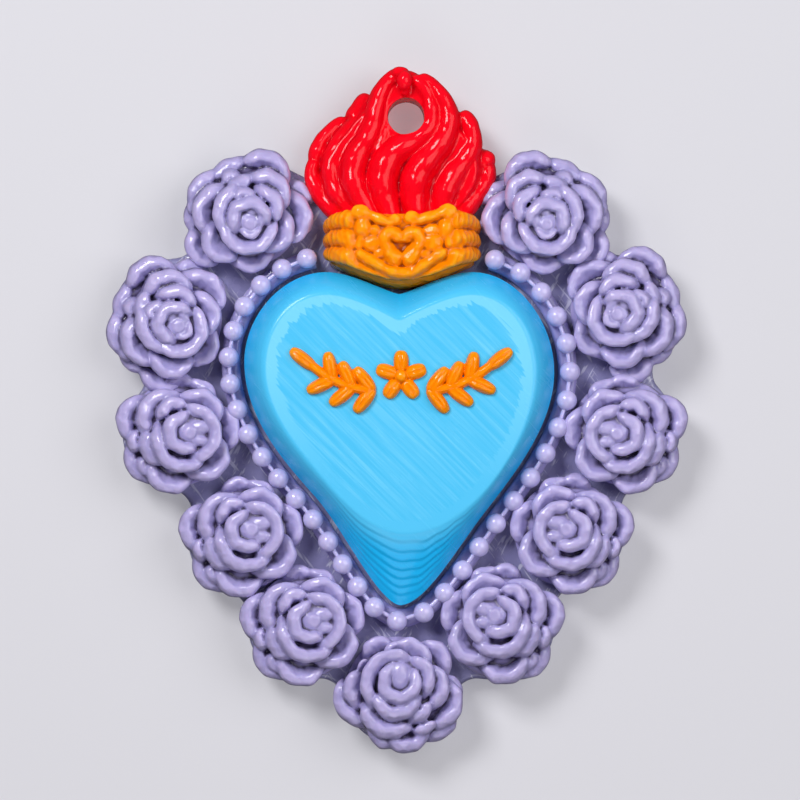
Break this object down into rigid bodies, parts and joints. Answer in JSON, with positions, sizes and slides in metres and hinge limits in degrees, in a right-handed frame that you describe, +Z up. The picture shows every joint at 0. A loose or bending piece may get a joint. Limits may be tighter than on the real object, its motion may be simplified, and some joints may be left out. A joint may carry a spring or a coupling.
{
  "type": "sacred heart pendant",
  "caption": "Upright sacred heart pendant: blue heart in a beaded collar, amber crown band, red flame with a hanging hole, and a garland of lavender roses on a scalloped plate.",
  "frame": {"origin": "centre of the hanging hole in the flame, at the middle of the flame's depth", "axes": "+Z up, from the heart's tip to the flame; -Y is the decorated front and the hole runs along Y; +X to the right seen from the front"},
  "size_m": [0.0468, 0.0077, 0.0559],
  "materials": {
    "plate_lavender": "gloss, darker lavender",
    "rose_lavender": "gloss lavender",
    "heart_blue": "gloss sky blue",
    "crown_amber": "gloss amber",
    "flame_red": "gloss red"
  },
  "bodies": {
    "root": {"backing_plate": "plate_lavender", "heart_collar": "rose_lavender", "heart": "heart_blue", "ornament_sprig_left": "crown_amber", "ornament_sprig_right": "crown_amber", "ornament_blossom": "crown_amber", "crown_band": "crown_amber", "crown_heart": "crown_amber", "flame": "flame_red", "rose_01": "rose_lavender", "rose_02": "rose_lavender", "rose_03": "rose_lavender", "rose_04": "rose_lavender", "rose_05": "rose_lavender", "rose_06": "rose_lavender", "rose_07": "rose_lavender", "rose_08": "rose_lavender", "rose_09": "rose_lavender", "rose_10": "rose_lavender", "rose_11": "rose_lavender", "bead_01": "rose_lavender", "bead_02": "rose_lavender", "bead_03": "rose_lavender", "bead_04": "rose_lavender", "bead_05": "rose_lavender", "bead_06": "rose_lavender", "bead_07": "rose_lavender", "bead_08": "rose_lavender", "bead_09": "rose_lavender", "bead_10": "rose_lavender", "bead_11": "rose_lavender", "bead_12": "rose_lavender", "bead_13": "rose_lavender", "bead_14": "rose_lavender", "bead_15": "rose_lavender", "bead_16": "rose_lavender", "bead_17": "rose_lavender", "bead_18": "rose_lavender", "bead_19": "rose_lavender", "bead_20": "rose_lavender", "bead_21": "rose_lavender", "bead_22": "rose_lavender", "bead_23": "rose_lavender", "bead_24": "rose_lavender", "bead_25": "rose_lavender", "bead_26": "rose_lavender", "bead_27": "rose_lavender", "bead_28": "rose_lavender", "bead_29": "rose_lavender", "bead_30": "rose_lavender", "bead_31": "rose_lavender", "bead_32": "rose_lavender", "bead_33": "rose_lavender", "bead_34": "rose_lavender"}
  },
  "joints": []
}
